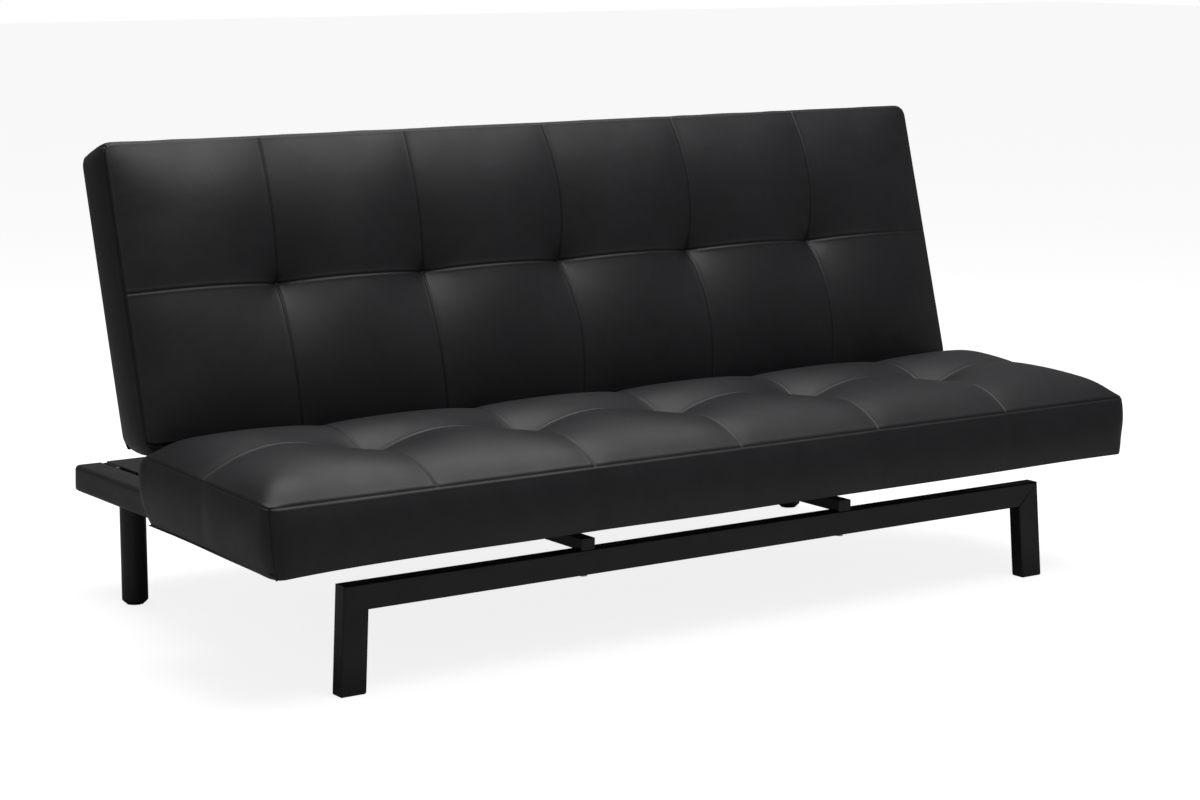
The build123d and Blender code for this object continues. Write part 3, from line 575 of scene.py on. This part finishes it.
back = {
    # its own height: the frame's box is of the tilted backrest
    "halfU": (backHigh.x - backLow.x) / 2, "halfV": 0.534 / 2,
    "band": 0.094, "crown": 0.017, "shoulder": 0.11, "panels": 6, "corner": 0.022, "rearRise": 0.0,
    "valley": 0.003, "midValley": 0.003, "valleyWidth": 0.024,
    "tuft": 0.028, "tuftWidth": 0.042, "fold": 0.0020, "foldReach": 0.034, "foldCount": 6,
    "bow": 0.006, "swell": 0.005, "wrinkle": 0.0022, "droop": 0.002, "bottomRise": 0.001,
    "lean": backLean, "footTaper": 0.012,
    "hem": lambda u, v: 0.0,
    "rearSwell": backFootSwell, "footSag": 0.013, "sagStart": 0.77,
    "pressure": 38, "cap": 0.024,
    "groove": 0.0016, "lip": 0.0005, "seed": 11.0,
    "pivotGap": 0.0177,       # pivot line to the backrest's lower face
}
seatMid = Vector(((seatLow.x + seatHigh.x) / 2, (seatLow.y + seatHigh.y) / 2, seatLow.z))
upSlope = Vector((0, math.sin(leanAngle), math.cos(leanAngle)))
faceOut = Vector((0, -math.cos(leanAngle), math.sin(leanAngle)))
backFoot = pivot + upSlope * back["pivotGap"]
backMid = backFoot + upSlope * back["halfV"] - faceOut * back["band"]

seatCushion = makeCushion("seatCushion", seat, lambda p: seatMid + p)
backCushion = makeCushion("backCushion", back,
                          lambda p: backMid + Vector((p.x, 0, 0)) + upSlope * p.y + faceOut * p.z)
for piece, c, body, parts in ((seatCushion, seat, "seat", ("seat_cover", "seat_foam")),
                              (backCushion, back, "back", ("back_cover", "back_foam"))):
    inflate(piece, c)
    finishCushion(piece, c, coverLeather)
    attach(piece, body)
    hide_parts(*parts)
    print(piece.name, "done:", len(piece.data.vertices), "vertices")


wrapPad = {
    "edge": 0.008, "endEdge": 0.005,          # rounding of the long edges and of the ends
    "swell": 0.0022, "wrinkle": 0.0012,
    "step": 0.012,                            # along the rail
    "edgeSteps": 6, "faceSteps": 5,           # round each edge and across each face
    "deckLap": 0.0015,                        # the rear pad stands this far above the deck's underside
}


def makeWrap(name, low, high, cad, seed, roundEnds):
    # leathercloth pulled over a wadded rail: rounded rectangle section swept along its length
    size = high - low
    axis = 0 if size.x > size.y else 1
    across = 1 - axis
    edge, edgeSteps, faceSteps = wrapPad["edge"], wrapPad["edgeSteps"], wrapPad["faceSteps"]
    halfA, halfB = size[across] / 2, size.z / 2

    def onEdge(edgeNumber, turn):
        # a place on one rounded edge of the section, turned round it by some degrees
        sideA, sideB = ((1, -1), (1, 1), (-1, 1), (-1, -1))[edgeNumber % 4]
        t = math.radians(-90 + 90 * edgeNumber + turn)
        return sideA * (halfA - edge) + edge * math.cos(t), sideB * (halfB - edge) + edge * math.sin(t)

    section = []
    for edgeNumber in range(4):
        section += [onEdge(edgeNumber, 90 // edgeSteps * k) for k in range(edgeSteps + 1)]
        (startA, startB), (endA, endB) = section[-1], onEdge(edgeNumber + 1, 0)
        for k in range(1, faceSteps):
            section.append((startA + (endA - startA) * k / faceSteps, startB + (endB - startB) * k / faceSteps))
    length = size[axis]
    endEdge = wrapPad["endEdge"]
    stations = [endEdge * k for k in (0, 0.15, 0.4, 1)] if roundEnds else [0]
    inner = int((length - 2 * endEdge) / wrapPad["step"])
    places = stations + [endEdge + (length - 2 * endEdge) * k / inner for k in range(1, inner)]
    places += [length - p for p in reversed(stations)]
    verts, faces = [], []
    for place in places:
        ends = min(place, length - place)
        shrink = 0.0
        if roundEnds and ends < endEdge:
            shrink = endEdge - math.sqrt(max(endEdge ** 2 - (endEdge - ends) ** 2, 0))
        for a, b in section:
            ka, kb = (halfA - shrink) / halfA, (halfB - shrink) / halfB
            # wrinkles about 80 mm long and 40 mm apart, fading out at the edges
            wave = noise.noise(Vector((a * 24, b * 24, place * 13 + seed))) * wrapPad["wrinkle"]
            flat = 1 - (abs(a) / halfA) ** 6 * (abs(b) / halfB) ** 6
            out = (wave + wrapPad["swell"] * 0.4) * flat * (1 if ends > endEdge else 0.3)
            point = [0, 0, 0]
            point[axis] = low[axis] + place
            point[across] = (low[across] + high[across]) / 2 + a * ka * (1 + out / halfA)
            point[2] = (low.z + high.z) / 2 + b * kb * (1 + out / halfB)
            verts.append(point)
    ring = len(section)
    for s in range(len(places) - 1):
        for k in range(ring):
            nxt = (k + 1) % ring
            quad = (s * ring + k, s * ring + nxt, (s + 1) * ring + nxt, (s + 1) * ring + k)
            faces.append(quad if axis == 0 else quad[::-1])
    # the two ends, facing out
    firstEnd, lastEnd = tuple(range(ring)), tuple(range((len(places) - 1) * ring, len(places) * ring))
    faces.append(firstEnd[::-1] if axis == 0 else firstEnd)
    faces.append(lastEnd if axis == 0 else lastEnd[::-1])
    mesh = bpy.data.meshes.new(name)
    mesh.from_pydata(verts, [], faces)
    mesh.update()
    mesh.polygons.foreach_set("use_smooth", [len(f) == 4 for f in faces])
    mesh.materials.append(wrapLeather)
    piece = bpy.data.objects.new(name, mesh)
    bpy.context.scene.collection.objects.link(piece)
    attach(piece, "base")
    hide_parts(*cad)


for sideName, seed in (("left", 5.0), ("right", 9.0)):
    low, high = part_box("arm_wrap_" + sideName)
    makeWrap("armPad" + sideName.capitalize(), low, high, ["arm_wrap_" + sideName], seed, True)
low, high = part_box("rear_wrap")
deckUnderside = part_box("deck_board")[0].z
makeWrap("rearPad", low, Vector((high.x, high.y, deckUnderside + wrapPad["deckLap"])), ["rear_wrap"], 14.0, False)
print("base pads done")


studio = {
    "fill": 0.16,                             # how much of the white world lights the sofa
    "key": 52, "top": 72,                     # watts
    "floorGlow": 0.85,
    "floorReach": 30, "floorDrop": 0.0005,    # the floor lies just under the feet
}

# pale studio floor, lifted to near white for the camera only
floorPaint, floorTree, floorShader = newMaterial("paleStudioPaint", "bdbdbd", 0.9)
floorSeen = addNode(floorTree, "ShaderNodeLightPath").outputs["Is Camera Ray"]
floorGlow = addNode(floorTree, "ShaderNodeMath", {"operation": "MULTIPLY", 1: studio["floorGlow"]}, {0: floorSeen})
floorShader.inputs["Emission Color"].default_value = toLinear("ffffff")
floorTree.links.new(floorGlow.outputs["Value"], floorShader.inputs["Emission Strength"])
floorMesh = bpy.data.meshes.new("studioFloor")
reach, drop = studio["floorReach"], studio["floorDrop"]
floorCorners = [(-reach, -reach, -drop), (reach, -reach, -drop), (reach, reach, -drop), (-reach, reach, -drop)]
floorMesh.from_pydata(floorCorners, [], [(0, 1, 2, 3)])
floorPiece = bpy.data.objects.new("studioFloor", floorMesh)
bpy.context.scene.collection.objects.link(floorPiece)
floorMesh.materials.append(floorPaint)

# white to the camera, dim to the sofa, so that black leather stays black against a white ground
world = bpy.data.worlds.new("studio")
bpy.context.scene.world = world
world.use_nodes = True
worldTree = world.node_tree
seen = addNode(worldTree, "ShaderNodeLightPath").outputs["Is Camera Ray"]
brightness = addNode(worldTree, "ShaderNodeMapRange", {"To Min": studio["fill"], "To Max": 1.0}, {"Value": seen})
worldTree.links.new(brightness.outputs["Result"], worldTree.nodes["Background"].inputs["Strength"])
worldTree.nodes["Background"].inputs["Color"].default_value = toLinear("ffffff")


def softBox(name, place, target, size, power):
    # rectangular studio light aimed at a target
    light = bpy.data.lights.new(name, "AREA")
    light.shape = "RECTANGLE"
    light.size, light.size_y = size
    light.energy = power
    piece = bpy.data.objects.new(name, light)
    piece.location = place
    piece.rotation_euler = (Vector(target) - Vector(place)).to_track_quat("-Z", "Y").to_euler()
    bpy.context.scene.collection.objects.link(piece)


softBox("keyLight", (0.4, -2.2, 4.2), (0, 0.1, 0.55), (3.4, 1.6), studio["key"])
softBox("topLight", (0.3, 0.6, 3.6), (0, 0, 0.4), (3.6, 2.4), studio["top"])

view = {
    "place": (-2.941, -4.355, 1.254),
    "azimuth": -34.5, "elevation": 9.68,      # degrees: turned right of straight ahead, tipped down
    "lens": 83.5,
}
camera = bpy.data.cameras.new("camera")
camera.lens = view["lens"]
camera.sensor_width = 36
camera.clip_end = 100
cameraPiece = bpy.data.objects.new("camera", camera)
cameraPiece.location = view["place"]
cameraPiece.rotation_euler = (math.radians(90 - view["elevation"]), 0, math.radians(view["azimuth"]))
bpy.context.scene.collection.objects.link(cameraPiece)
bpy.context.scene.camera = cameraPiece
bpy.context.scene.view_settings.view_transform = "Standard"
print("camera and lights placed")
